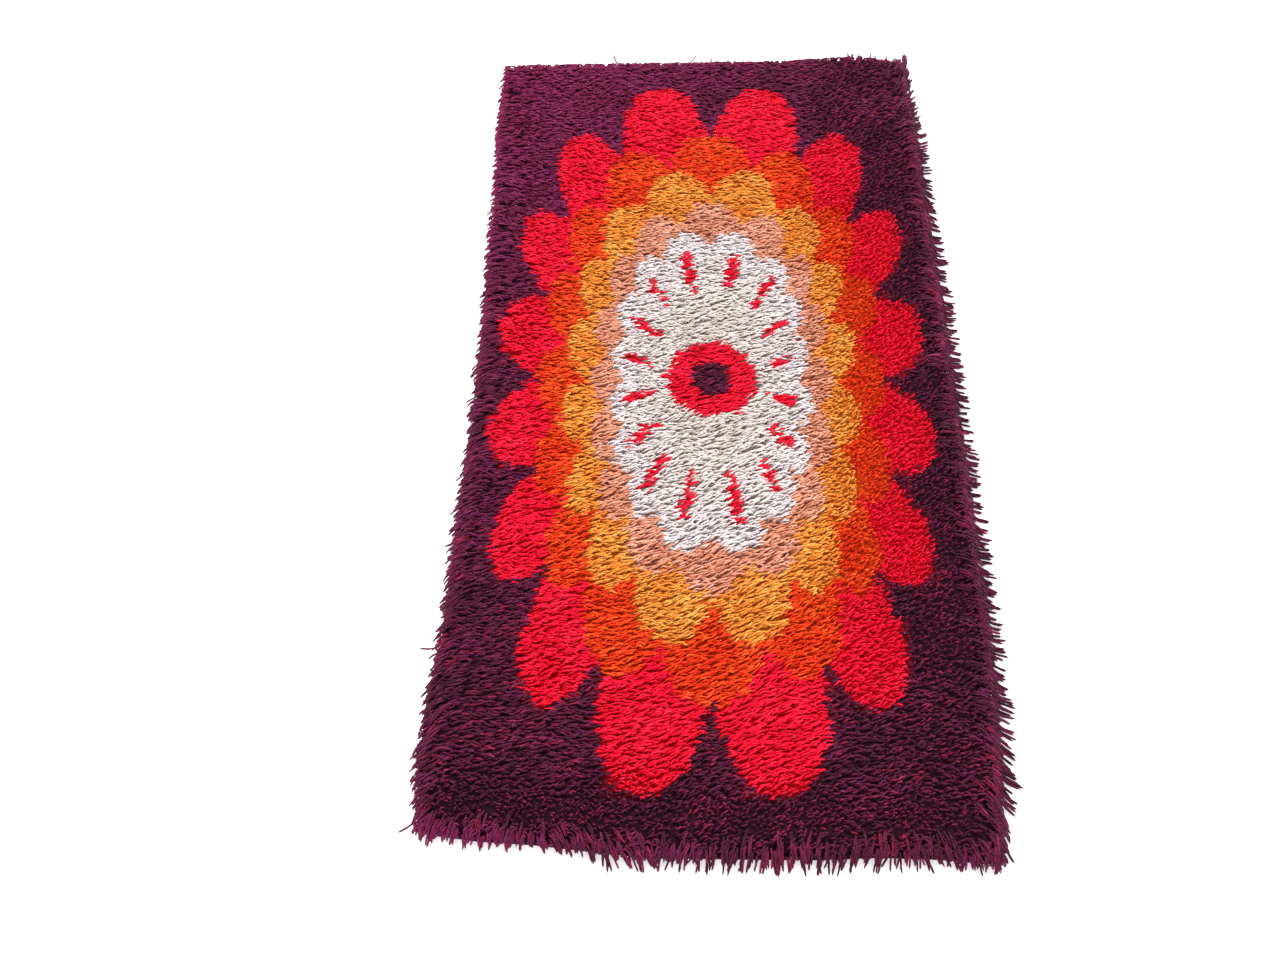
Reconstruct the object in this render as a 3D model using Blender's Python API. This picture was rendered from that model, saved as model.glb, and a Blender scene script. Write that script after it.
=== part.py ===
"""A long-pile shag carpet lying flat: a lumpy slab of knotted yarn with loose locks round its rim.

Run with: blender --background --python part.py
Metres, +Z up. The carpet lies on the plane z = 0, its length along Y, its near short side at -Y.
"""

import math
import random

import bmesh
import bpy
from mathutils import Vector, noise

# Driving sizes of the woven field, without the locks that fall past it
FIELD_WIDTH = 0.690
FIELD_LENGTH = 1.395

# The pile as it lies: its usual height, its height where it falls over the edge,
# and how far in from the edge it takes to reach its full height
PILE_HEIGHT = 0.026
RIM_HEIGHT = 0.010
SHOULDER = 0.045

# Lumps where the yarn stands in tufts, the broader swells of a used carpet, and the sway in the
# way the locks lie. Each has its own layer of the noise, so that no two look alike.
LUMP = {"rise": 0.0032, "size": 0.042, "layer": 0.5}
SWELL = {"rise": 0.0024, "size": 0.19, "layer": 7.5}
SWAY = {"degrees": 10.0, "size": 0.11, "layer": 3.5}

# The grid that carries the lumps, and how many wall faces each of its rim cells is cut into
COLUMNS = 30
ROWS = 60
FACES_A_CELL = 4

# How far the outline stands out past the plain rectangle, in metres, at places along each side
# from its start at -1 to its end at 1. Left and right run with +Y, near and far with +X.
BULGE = {
    "left": {
        "place": (-1.0, -0.85, -0.5, 0.0, 0.5, 0.8, 1.0),
        "out": (0.002, 0.012, 0.002, -0.004, 0.004, 0.008, 0.000),
    },
    "right": {
        "place": (-1.0, -0.6, -0.2, 0.2, 0.6, 1.0),
        "out": (0.000, 0.005, 0.003, -0.001, -0.006, -0.008),
    },
    "near": {
        "place": (-1.0, -0.7, -0.5, -0.3, 0.3, 0.7, 1.0),
        "out": (-0.020, -0.010, -0.012, 0.002, 0.002, -0.003, 0.004),
    },
    "far": {
        "place": (-1.0, -0.3, 0.2, 0.8, 1.0),
        "out": (-0.006, 0.002, 0.004, 0.018, 0.004),
    },
}
BULGE_POWER = 3  # the higher, the nearer the rim a bulge stays
CORNER_CUT = 0.006
CORNER_POWER = 12  # the higher, the tighter the corner is rounded

# The loose locks of each side: shortest and longest reach in metres, and the way they point at
# the side's start and end, in degrees anticlockwise from +X
LOCKS = {
    "left": {"reach": (0.006, 0.015), "heading": (222.0, 165.0)},
    "right": {"reach": (0.024, 0.036), "heading": (-30.0, 42.0)},
    "near": {"reach": (0.011, 0.022), "heading": (236.0, 286.0)},
    "far": {"reach": (0.004, 0.009), "heading": (100.0, 78.0)},
}

# A lock's bend and its tip: the share of its reach and of the wall face's width, and its height
LOCK_STAGES = (
    {"reach": 0.55, "width": 1.05, "height": 0.0070},
    {"reach": 1.00, "width": 0.55, "height": 0.0032},
)

# Every second wall face may carry a lock, and this share of those stays bare
BARE_SHARE = 0.2
SEED = 7

# The ground colour of the yarn, in linear light
PLUM = (0.060, 0.012, 0.035, 1.0)
WOOL_ROUGHNESS = 0.85


def clear_scene():
    """Empties the scene and makes a collection named for the object."""
    for old in list(bpy.data.objects):
        bpy.data.objects.remove(old, do_unlink=True)
    made = bpy.data.collections.new("shag_carpet")
    bpy.context.scene.collection.children.link(made)
    return made


def yarn_material():
    """Dark plum yarn, the ground colour of the pile."""
    material = bpy.data.materials.new("plum_yarn")
    material.use_nodes = True
    shader = material.node_tree.nodes["Principled BSDF"]
    shader.inputs["Base Color"].default_value = PLUM
    shader.inputs["Roughness"].default_value = WOOL_ROUGHNESS
    shader.inputs["Metallic"].default_value = 0.0
    material.diffuse_color = PLUM
    return material


def wave(kind, x, y):
    """Smooth noise from about -1 to 1 over the carpet, at the size and on the layer of this kind."""
    return noise.noise(Vector((x / kind["size"], y / kind["size"], kind["layer"])))


def bulge(side, at):
    """How far a side stands out at a place along it, eased between its rows with a half cosine."""
    places, outs = BULGE[side]["place"], BULGE[side]["out"]
    for row in range(len(places) - 1):
        if at <= places[row + 1]:
            share = max(0.0, (at - places[row]) / (places[row + 1] - places[row]))
            return outs[row] + (outs[row + 1] - outs[row]) * (1 - math.cos(math.pi * share)) / 2
    return outs[-1]


def outline_point(across, along):
    """Where a point of the square from -1 to 1 each way lies on the carpet, as x and y."""
    side_out = bulge("right" if across > 0 else "left", along)
    end_out = bulge("far" if along > 0 else "near", across)
    corner = CORNER_CUT * (abs(across) * abs(along)) ** CORNER_POWER
    x = across * (FIELD_WIDTH / 2 + abs(across) ** BULGE_POWER * side_out - corner)
    y = along * (FIELD_LENGTH / 2 + abs(along) ** BULGE_POWER * end_out - corner)
    return x, y


def pile_height(across, along, x, y):
    """Height of the pile: full and lumpy inside, falling in a rounded shoulder to the rim."""
    to_side = (1 - abs(across)) * FIELD_WIDTH / 2
    to_end = (1 - abs(along)) * FIELD_LENGTH / 2
    inward = min(1.0, to_side / SHOULDER, to_end / SHOULDER)
    shoulder = math.sqrt(1 - (1 - inward) ** 2)
    uneven = LUMP["rise"] * wave(LUMP, x, y) + SWELL["rise"] * wave(SWELL, x, y)
    return RIM_HEIGHT + shoulder * (PILE_HEIGHT - RIM_HEIGHT + uneven)


def side_of(face):
    """The side that a wall face looks towards, and its place from 0 to 1 along that side."""
    face.normal_update()
    middle = face.calc_center_median()
    if abs(face.normal.x) > abs(face.normal.y):
        return ("right" if middle.x > 0 else "left"), middle.y / FIELD_LENGTH + 0.5
    return ("far" if middle.y > 0 else "near"), middle.x / FIELD_WIDTH + 0.5


def face_place(face):
    """The middle of a face as plain numbers, to sort by."""
    return face.calc_center_median().to_tuple()


def round_the_rim(faces):
    """The wall faces in the order in which they stand round the rim."""
    waiting = set(faces)
    face = min(waiting, key=face_place)
    order = []
    while face is not None:
        order.append(face)
        waiting.discard(face)
        beside = [f for edge in face.edges for f in edge.link_faces if f in waiting]
        face = min(beside, key=face_place, default=None)
    return order


def bend_down(face, out, width, height):
    """Moves a lock's end face outwards, scaled to a share of its width, its foot on the floor."""
    low = sorted(face.verts, key=lambda v: v.co.z)[:2]
    middle = (low[0].co + low[1].co) / 2
    half = (low[1].co - low[0].co) / 2
    for vert in face.verts:
        level = 0.0 if vert in low else height
        sideways = half * math.copysign(width, (vert.co - middle).dot(half))
        vert.co = middle + out + sideways
        vert.co.z = level


def grow_lock(bm, face, chance):
    """Extrudes a wall face into a lock of yarn that bends down to lie level on the floor."""
    side, place = side_of(face)
    start, end = LOCKS[side]["heading"]
    shortest, longest = LOCKS[side]["reach"]
    middle = face.calc_center_median()
    sway = SWAY["degrees"] * wave(SWAY, middle.x, middle.y)
    heading = math.radians(start + (end - start) * place + sway)
    whole = Vector((math.cos(heading), math.sin(heading), 0.0)) * chance.uniform(shortest, longest)
    before = {"reach": 0.0, "width": 1.0}
    for stage in LOCK_STAGES:
        face = bmesh.ops.extrude_discrete_faces(bm, faces=[face])["faces"][0]
        out = whole * (stage["reach"] - before["reach"])
        bend_down(face, out, stage["width"] / before["width"], stage["height"])
        before = stage


def pile_top(bm):
    """The lumpy top: a grid drawn to the outline, its rim cut fine enough for the locks."""
    bmesh.ops.create_grid(bm, x_segments=COLUMNS, y_segments=ROWS, size=1.0)
    rim = [e for e in bm.edges if e.is_boundary]
    bmesh.ops.subdivide_edges(bm, edges=rim, cuts=FACES_A_CELL - 1)
    for vert in bm.verts:
        across, along = vert.co.x, vert.co.y
        x, y = outline_point(across, along)
        vert.co = Vector((x, y, pile_height(across, along, x, y)))


def pile_wall(bm):
    """The low wall under the rim and the flat underside. Returns the wall's faces."""
    rim = [e for e in bm.edges if e.is_boundary]
    made = bmesh.ops.extrude_edge_only(bm, edges=rim)["geom"]
    for part in made:
        if isinstance(part, bmesh.types.BMVert):
            part.co.z = 0.0
    foot = [e for e in bm.edges if e.is_boundary]
    bmesh.ops.holes_fill(bm, edges=foot, sides=0)
    return [part for part in made if isinstance(part, bmesh.types.BMFace)]


def rim_locks(bm, wall):
    """Grows a lock from every second wall face, but for those left bare."""
    chance = random.Random(SEED)
    for face in round_the_rim(wall)[::2]:
        if chance.random() > BARE_SHARE:
            grow_lock(bm, face, chance)


def centre_over_origin(bm):
    """Shifts everything so that the middle of the footprint is over the origin."""
    xs = [v.co.x for v in bm.verts]
    ys = [v.co.y for v in bm.verts]
    middle = Vector(((min(xs) + max(xs)) / 2, (min(ys) + max(ys)) / 2, 0.0))
    bmesh.ops.translate(bm, verts=bm.verts, vec=-middle)


def make_carpet(collection):
    """The carpet as one closed solid: lumpy top, low wall, flat underside and the rim's locks."""
    bm = bmesh.new()
    pile_top(bm)
    rim_locks(bm, pile_wall(bm))
    centre_over_origin(bm)
    bmesh.ops.recalc_face_normals(bm, faces=bm.faces)
    mesh = bpy.data.meshes.new("shag_carpet")
    bm.to_mesh(mesh)
    bm.free()
    mesh.materials.append(yarn_material())
    collection.objects.link(bpy.data.objects.new("shag_carpet", mesh))


def main():
    make_carpet(clear_scene())


main()
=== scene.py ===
# %% [markdown]
# This lesson dresses a long-pile shag carpet. The solid that comes with it is a plain lumpy slab with
# tapered locks round its rim. The real thing is a woven ground with tens of thousands of short wool
# strands knotted into it, so the strands are what this script makes. It loads the slab first, because
# every size below has to agree with it.

# %% Load the solid that the carpet has to fit
import math

import bpy
import numpy as np
from mathutils import Matrix


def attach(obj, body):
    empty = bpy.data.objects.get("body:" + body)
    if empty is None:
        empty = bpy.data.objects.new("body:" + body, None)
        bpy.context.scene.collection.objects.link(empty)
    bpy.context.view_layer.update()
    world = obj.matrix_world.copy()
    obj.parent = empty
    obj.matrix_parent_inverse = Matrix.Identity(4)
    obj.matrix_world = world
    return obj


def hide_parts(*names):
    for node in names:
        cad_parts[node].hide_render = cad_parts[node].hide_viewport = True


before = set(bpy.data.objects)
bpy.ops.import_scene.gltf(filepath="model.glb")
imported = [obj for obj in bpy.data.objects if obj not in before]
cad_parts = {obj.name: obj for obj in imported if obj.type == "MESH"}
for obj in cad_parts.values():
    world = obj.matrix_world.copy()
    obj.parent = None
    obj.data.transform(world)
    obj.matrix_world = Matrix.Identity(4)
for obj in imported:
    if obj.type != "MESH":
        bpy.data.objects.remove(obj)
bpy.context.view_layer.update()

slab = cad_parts["shag_carpet"]

# %% [markdown]
# Three small helpers serve the whole lesson. Colours are picked as sRGB hex values, as on a screen, and
# Blender wants linear light. Materials are chains of nodes, and one function can add any node. Meshes
# come from numpy arrays, which foreach_set copies into Blender in one go, many times faster than a
# Python loop over the points.

# %% Helpers for colours, nodes and meshes
def linear(hex_colour):
    """sRGB hex to linear RGBA: c / 12.92 below 0.04045, else ((c + 0.055) / 1.055) to the power 2.4."""
    srgb = np.array([int(hex_colour[i:i + 2], 16) / 255 for i in (1, 3, 5)])
    rgb = np.where(srgb <= 0.04045, srgb / 12.92, ((srgb + 0.055) / 1.055) ** 2.4)
    return (*rgb.tolist(), 1.0)


def add_node(tree, kind, inputs=None, **settings):
    """Adds a node with its settings. An input given as a socket is linked, and any other is set."""
    node = tree.nodes.new(kind)
    for name, value in settings.items():
        setattr(node, name, value)
    for key, value in (inputs or {}).items():
        if isinstance(value, bpy.types.NodeSocket):
            tree.links.new(value, node.inputs[key])
        else:
            node.inputs[key].default_value = value
    return node


def new_piece(name, points, faces, smooth=True):
    """A mesh object at the origin from an array of points and a list of arrays of faces."""
    mesh = bpy.data.meshes.new(name)
    mesh.vertices.add(len(points))
    mesh.vertices.foreach_set("co", points.astype(np.float32).ravel())
    corners = np.concatenate([part.ravel() for part in faces])
    sizes = np.concatenate([np.full(len(part), part.shape[1]) for part in faces])
    mesh.loops.add(len(corners))
    mesh.loops.foreach_set("vertex_index", corners.astype(np.int32))
    mesh.polygons.add(len(sizes))
    starts = np.concatenate([[0], np.cumsum(sizes)[:-1]])
    mesh.polygons.foreach_set("loop_start", starts.astype(np.int32))
    mesh.update(calc_edges=True)
    mesh.polygons.foreach_set("use_smooth", np.full(len(sizes), smooth))
    piece = bpy.data.objects.new(name, mesh)
    bpy.context.scene.collection.objects.link(piece)
    return piece


def triangles(piece):
    """How many triangles a mesh has: each face has two fewer than its corners."""
    return len(piece.data.loops) - 2 * len(piece.data.polygons)


print("crimson in linear light:", [round(c, 3) for c in linear("#DC143C")])

# %% [markdown]
# The woven field isn't a true rectangle. Years of use have pulled one corner in and let another out, and
# the sides swell. The slab was drawn from a rectangle and a short table of bulges. The same table gives
# the outline here, but for two things: the left corners stand out a few millimetres more, and the right
# side reaches past the slab's rim, because what the slab shows as broad locks there is partly pile that
# still stands upright. The field is then moved so that it lies on the slab.

# %% The outline of the woven field
FIELD_WIDTH = 0.690
FIELD_LENGTH = 1.395
RIM_HEIGHT = 0.010
SPREAD = 0.016
BULGE = {
    "left": {
        "place": (-1.0, -0.85, -0.5, 0.0, 0.5, 0.8, 1.0),
        "out": (0.006, 0.016, 0.002, -0.004, 0.003, 0.011, 0.010),
    },
    "right": {
        "place": (-1.0, -0.6, -0.2, 0.2, 0.6, 1.0),
        "out": (0.009, 0.021, 0.019, 0.015, 0.010, 0.008),
    },
    "near": {
        "place": (-1.0, -0.7, -0.5, -0.3, 0.3, 0.7, 1.0),
        "out": (-0.020, -0.009, -0.008, 0.004, 0.003, -0.003, 0.004),
    },
    "far": {
        "place": (-1.0, -0.3, 0.2, 0.8, 1.0),
        "out": (-0.006, 0.002, 0.004, 0.018, 0.004),
    },
}


def bulge(side, at):
    """How far a side stands out at places from -1 to 1 along it.

    Between two rows of the table it goes over from one to the other as (1 - cos(pi s)) / 2."""
    places, outs = (np.array(BULGE[side][column]) for column in ("place", "out"))
    row = np.clip(np.searchsorted(places, at) - 1, 0, len(places) - 2)
    share = np.clip((at - places[row]) / (places[row + 1] - places[row]), 0, 1)
    return outs[row] + (outs[row + 1] - outs[row]) * (1 - np.cos(np.pi * share)) / 2


def plain_outline(across, along):
    """A point of the square from -1 to 1 each way, stretched to the field and its bulges."""
    side_out = np.where(across > 0, bulge("right", along), bulge("left", along))
    end_out = np.where(along > 0, bulge("far", across), bulge("near", across))
    x = across * (FIELD_WIDTH / 2 + np.abs(across) ** 3 * side_out)
    y = along * (FIELD_LENGTH / 2 + np.abs(along) ** 3 * end_out)
    return x, y


slab_points = np.empty(3 * len(slab.data.vertices), np.float32)
slab.data.vertices.foreach_get("co", slab_points)
slab_points = slab_points.reshape(-1, 3)
slab_rim = slab_points[np.abs(slab_points[:, 2] - RIM_HEIGHT) < 0.0001]
ring = np.linspace(-1, 1, 201)
MIDDLE_X = float(slab_rim[:, 0].max() + SPREAD - plain_outline(np.ones(201), ring)[0].max())
MIDDLE_Y = float(slab_rim[:, 1].max() - plain_outline(ring, np.ones(201))[1].max())


def on_field(across, along):
    """The same point, moved to where the slab lies."""
    x, y = plain_outline(across, along)
    return x + MIDDLE_X, y + MIDDLE_Y


def inside_by(x, y):
    """How far inside the field a point is from each side, negative outside it."""
    x, y = x - MIDDLE_X, y - MIDDLE_Y
    across, along = x / (FIELD_WIDTH / 2), y / (FIELD_LENGTH / 2)
    return {
        "left": x + FIELD_WIDTH / 2 + bulge("left", along),
        "right": FIELD_WIDTH / 2 + bulge("right", along) - x,
        "near": y + FIELD_LENGTH / 2 + bulge("near", across),
        "far": FIELD_LENGTH / 2 + bulge("far", across) - y,
    }


print(f"field middle at {MIDDLE_X * 1000:.1f}, {MIDDLE_Y * 1000:.1f} mm from the slab's")

# %% [markdown]
# Nothing on a used carpet is even: the pile swells and dips, and its strands sway in swathes. Such
# unevenness could come from a noise texture, but the strands are worked out in numpy, so a numpy form is
# handier: a handful of sine waves in random directions, added up.

# %% Smooth unevenness from a few sine waves
WAVES = 7


def unevenness(x, y, size, seed):
    """From about -1 to 1: the sum of sin(k (x cos a + y sin a) + p) over WAVES waves.

    Each wave has a direction a and a start p of its own, and a k near 2 pi / size."""
    chance = np.random.default_rng(seed)
    turn = chance.uniform(0, 2 * np.pi, WAVES)
    start = chance.uniform(0, 2 * np.pi, WAVES)
    pace = 2 * np.pi / (size * chance.uniform(0.7, 1.5, WAVES))
    x, y = np.asarray(x)[..., None], np.asarray(y)[..., None]
    return np.sin(pace * (x * np.cos(turn) + y * np.sin(turn)) + start).sum(-1) / WAVES ** 0.5


# %% [markdown]
# The strands lean over and lie on each other, so the pile is lower than a strand is long. Its surface is
# a lumpy plain with a rounded shoulder at the edge, and past the edge it drops to the floor in the width
# of a thumb. Every strand below follows this one surface.

# %% The surface of the pile
PILE_HEIGHT = 0.0265
SHOULDER = 0.030
EDGE_HEIGHT = 0.0155
FLOOR_HEIGHT = 0.0046
FALL = 0.014


def pile_surface(x, y):
    """Height of the pile: a quarter ellipse from the edge to its full height, and a cosine fall outside."""
    inside = np.minimum.reduce(list(inside_by(x, y).values()))
    inward = np.clip(inside / SHOULDER, 0, 1)
    outward = np.clip(-inside / FALL, 0, 1)
    lumps = 0.0011 * unevenness(x, y, 0.055, 21) + 0.0013 * unevenness(x, y, 0.23, 22)
    risen = np.sqrt(1 - (1 - inward) ** 2) * (PILE_HEIGHT - EDGE_HEIGHT + lumps)
    fallen = (1 - np.cos(np.pi * outward)) / 2 * (EDGE_HEIGHT - FLOOR_HEIGHT)
    return EDGE_HEIGHT + risen - fallen


middle_heights = pile_surface(np.linspace(-0.2, 0.2, 50), np.zeros(50)) * 1000
print(f"pile from {middle_heights.min():.1f} to {middle_heights.max():.1f} mm high in the middle")

# %% [markdown]
# A long pile is combed by feet and by the broom. Here it lies across the carpet, its tips to the right,
# turned a little away from the near end in the near half and a little towards it in the far one. A table
# of a few angles, one row for each place along the carpet, holds this lay.

# %% The lay of the pile
LAY_COLUMNS = (-0.28, -0.15, -0.02, 0.10, 0.22)
LAY_ROWS = (-0.61, -0.44, -0.25, -0.05, 0.15, 0.40, 0.61)
LAY_DEGREES = (
    (2, 0, 15, 9, 2),
    (5, 4, 17, 21, 7),
    (6, 9, 17, 18, 9),
    (-2, 3, 10, 5, 2),
    (-9, -3, 1, 2, -4),
    (-18, -16, -10, -4, -8),
    (-9, -13, -11, -15, 0),
)


def lay(x, y):
    """The lay's angle in radians anticlockwise from +X, linear between the table's rows and columns."""
    table = np.array(LAY_DEGREES, float)
    column = np.interp(x, LAY_COLUMNS, np.arange(len(LAY_COLUMNS)))
    row = np.interp(y, LAY_ROWS, np.arange(len(LAY_ROWS)))
    left = np.minimum(column.astype(int), len(LAY_COLUMNS) - 2)
    low = np.minimum(row.astype(int), len(LAY_ROWS) - 2)
    s, t = column - left, row - low
    near = table[low, left] * (1 - s) + table[low, left + 1] * s
    far = table[low + 1, left] * (1 - s) + table[low + 1, left + 1] * s
    return np.radians(near * (1 - t) + far * t)


print("lay at the middle in degrees:", round(math.degrees(lay(np.array([0.0]), np.array([0.0]))[0])))

# %% [markdown]
# The pattern is a big many-petalled flower in an oval, an old favourite on shag carpets. Its petals are
# spread evenly by their width at the oval's edge, not by angle, or those at the narrow ends would crowd.
# So the oval's edge is measured once, and each direction gets a petal number from its place along it.

# %% The oval and its petal numbers
PETALS = 16
OVAL_HALF_WIDTH = 0.322
OVAL_HALF_LENGTH = 0.640
OVAL_POWER = 2.5
FLOWER_X = MIDDLE_X + 0.006
FLOWER_Y = MIDDLE_Y - 0.004


def oval(angle):
    """Distance from the middle to the oval: (|cos a / w| ^ p + |sin a / l| ^ p) ^ (-1 / p)."""
    wide = np.abs(np.cos(angle) / OVAL_HALF_WIDTH) ** OVAL_POWER
    long = np.abs(np.sin(angle) / OVAL_HALF_LENGTH) ** OVAL_POWER
    return (wide + long) ** (-1 / OVAL_POWER)


oval_angles = np.linspace(-np.pi, np.pi, 1441)
oval_x, oval_y = oval(oval_angles) * np.cos(oval_angles), oval(oval_angles) * np.sin(oval_angles)
oval_lengths = np.concatenate([[0], np.cumsum(np.hypot(np.diff(oval_x), np.diff(oval_y)))])
oval_edge = oval_lengths[-1]
print(f"the oval's edge is {oval_edge:.2f} m long, {oval_edge / PETALS * 1000:.0f} mm a petal")

# %% [markdown]
# Each tier of petals is a colour. A tier reaches to a share of the oval, with a rounded notch between its
# petals, and every second tier is turned by half a petal, as on a dahlia. A knot takes the colour of the
# innermost tier that holds it. A crimson drop sits on each off-white petal, two rings make the eye, and
# what lies outside every tier is the plum ground.

# %% The colour of a knot
YARNS = ("plum", "crimson", "orange", "gold", "pink", "offwhite")
TIERS = (
    {"yarn": "crimson", "reach": 1.00, "notch": 0.22, "turn": 0.0},
    {"yarn": "orange", "reach": 0.80, "notch": 0.15, "turn": 0.5},
    {"yarn": "gold", "reach": 0.675, "notch": 0.15, "turn": 0.0},
    {"yarn": "pink", "reach": 0.555, "notch": 0.13, "turn": 0.5},
    {"yarn": "offwhite", "reach": 0.46, "notch": 0.13, "turn": 0.0},
)
NOTCH_POWER = 2.6
DROP_AT = 0.325
DROP_HALF_LENGTH = 0.070
DROP_HALF_WIDTH = 0.15
EYE = (("crimson", 0.066), ("plum", 0.030))


def flower(x, y):
    """Yarn number of points, and their distance from the middle as a share of the oval.

    A tier's edge is reach * (1 - notch * |2 u| ^ p), with u from -0.5 to 0.5 across a petal. The drops
    are |u| < half width * (0.75 + 0.25 q) * sqrt(1 - q^2), with q from -1 to 1 along a drop."""
    x, y = x - FLOWER_X, y - FLOWER_Y
    angle, distance = np.arctan2(y, x), np.hypot(x, y)
    share = distance / oval(angle)
    number = np.interp(angle, oval_angles, oval_lengths / oval_lengths[-1] * PETALS)
    yarn = np.full(x.shape, YARNS.index("plum"))
    for tier in TIERS:
        u = (number + tier["turn"]) % 1 - 0.5
        edge = tier["reach"] * (1 - tier["notch"] * np.abs(2 * u) ** NOTCH_POWER)
        yarn[share < edge] = YARNS.index(tier["yarn"])
    q = np.clip((share - DROP_AT) / DROP_HALF_LENGTH, -1, 1)
    drop = DROP_HALF_WIDTH * (0.75 + 0.25 * q) * np.sqrt(1 - q ** 2)
    yarn[np.abs(number % 1 - 0.5) < drop] = YARNS.index("crimson")
    for name, radius in EYE:
        yarn[distance < radius] = YARNS.index(name)
    return yarn, share


print("yarn at the eye:", YARNS[flower(np.array([FLOWER_X]), np.array([FLOWER_Y]))[0][0]])

# %% [markdown]
# The knots sit in rows across the ground. A knot is one length of yarn, so two cut ends stand up from it,
# side by side. On the real ground the knots are exact, but the pile hides them, so a little jitter stands
# in for the unevenness of hand work. Along the rim the pile parts, and every knot there gets a neighbour,
# as crowding does at a rolled edge, and one more at the very rim of the right side.

# %% The knots
KNOT_SPACING = 0.0071
ROW_SPACING = 0.0068
SELVEDGE = 0.0035
STRANDS_A_KNOT = 2
CROWDED = {"left": 0.026, "right": 0.018, "near": 0.022, "far": 0.011}

chance = np.random.default_rng(1974)
columns = int(FIELD_WIDTH / KNOT_SPACING)
rows = int(FIELD_LENGTH / ROW_SPACING)
reach_x, reach_y = 1 - SELVEDGE / (FIELD_WIDTH / 2), 1 - SELVEDGE / (FIELD_LENGTH / 2)
knot_across, knot_along = np.meshgrid(
    np.linspace(-reach_x, reach_x, columns), np.linspace(-reach_y, reach_y, rows)
)
knot_x, knot_y = on_field(knot_across.ravel(), knot_along.ravel())
to_sides = inside_by(knot_x, knot_y)
crowded = np.any([to_sides[side] < width for side, width in CROWDED.items()], axis=0)
outermost = to_sides["right"] < KNOT_SPACING
aside = np.where(outermost, -0.5, 0.5) * KNOT_SPACING
between = ROW_SPACING * chance.uniform(-0.5, 0.0, crowded.sum())
knot_x = np.concatenate([knot_x, (knot_x + aside)[crowded], knot_x[outermost]])
knot_y = np.concatenate([knot_y, knot_y[crowded] + between, knot_y[outermost] + ROW_SPACING / 2])
knots = len(knot_x)
knot_x = knot_x + chance.uniform(-0.0016, 0.0016, knots)
knot_y = knot_y + chance.uniform(-0.0010, 0.0010, knots)
print(f"{rows} rows of {columns} knots and {knots - rows * columns} more, {knots * STRANDS_A_KNOT} strands")

# %% [markdown]
# At the rim a strand has nothing to lie on, so the outermost knots topple outwards and hang past the edge
# to the floor as loose locks. Each side has its own habit, in a table: which way its locks point at places
# along it, and how long they are there. They stick to each other in tufts, with gaps in between, so each
# side is cut into uneven lengths and the strands of a length draw together towards its middle. On the
# right they don't: each row of knots ends in a lock of its own, and the extra knots there stay short. The
# strands rooted farther in fall less far past the edge, so the floor shows only between the tips.

# %% The habits of the four rims
RIM = {
    "left": {
        "line": 0.0065, "first": 0.92, "past": (0.003, 0.015), "even": 0.3,
        "swing": 0.032, "inner": 0.6, "longest": 0.027, "tuft": 0.015, "draw": -0.6,
        "place": (-0.50, -0.30, -0.10, 0.15, 0.50),
        "heading": (220, 214, 206, 190, 176),
        "long": (1.0, 1.0, 1.0, 0.7, 0.6),
    },
    "right": {
        "line": 0.0060, "first": 0.96, "past": (0.023, 0.034), "even": 0.85,
        "swing": 0.034, "inner": 0.5, "longest": 0.028, "tuft": 0.009, "draw": 0.0,
        "place": (-0.50, -0.42, -0.35, -0.28, -0.10, 0.10, 0.27, 0.32, 0.37, 0.41, 0.46, 0.50),
        "heading": (-60, -38, -25, -14, -6, -8, -10, 6, 34, 52, 62, 66),
        "long": (0.6, 1.1, 1.05, 0.95, 0.95, 0.95, 0.85, 0.9, 1.0, 1.05, 1.2, 1.3),
    },
    "near": {
        "line": 0.0070, "first": 0.92, "past": (0.006, 0.024), "even": 0.35,
        "swing": 0.030, "inner": 0.6, "longest": 0.027, "tuft": 0.013, "draw": 0.8,
        "place": (-0.50, -0.36, -0.31, -0.27, -0.16, -0.10, 0.10, 0.30, 0.36, 0.42, 0.50),
        "heading": (240, 258, 280, 300, 298, 258, 268, 262, 288, 286, 284),
        "long": (0.7, 0.5, 0.4, 0.9, 1.0, 0.95, 0.95, 1.0, 1.0, 0.6, 0.6),
    },
    "far": {
        "line": 0.0055, "first": 0.65, "past": (0.002, 0.007), "even": 0.6,
        "swing": 0.010, "inner": 0.5, "longest": 0.020, "tuft": 0.020, "draw": -0.6,
        "place": (-0.50, 0.10, 0.25, 0.45, 0.50),
        "heading": (102, 90, 84, 76, 66),
        "long": (0.9, 0.9, 1.7, 2.4, 2.8),
    },
}


def rim_habit(side, place, along_side, swathe):
    """A rim's outward heading, its locks' share of length and the pull towards the middle of their tuft.

    The tuft's middle is (floor(w / tuft) + 1/2) * tuft, where w is the place in metres plus a slow wave."""
    habit = RIM[side]
    heading = np.radians(np.interp(place, habit["place"], habit["heading"])) + 1.5 * swathe
    long = np.interp(place, habit["place"], habit["long"])
    warped = along_side + 0.006 * unevenness(along_side, np.zeros_like(along_side), 0.060, 33)
    middle = (np.floor(warped / habit["tuft"]) + 0.5) * habit["tuft"]
    return heading, long, habit["draw"] * (middle - warped)


print("rims with tufts of", [round(habit["tuft"] * 1000) for habit in RIM.values()], "mm")

# %% [markdown]
# Inside the field a strand follows the lay. It leans far where the pile is pressed flat, and little on
# the right and at the near end, where it still stands up and shows its tips. Just inside a rim, some
# strands fall outwards and others lie with the rest. The two ways cross over each other, which is why no
# parting shows. The two strands of a lock on the right cling together.

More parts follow.
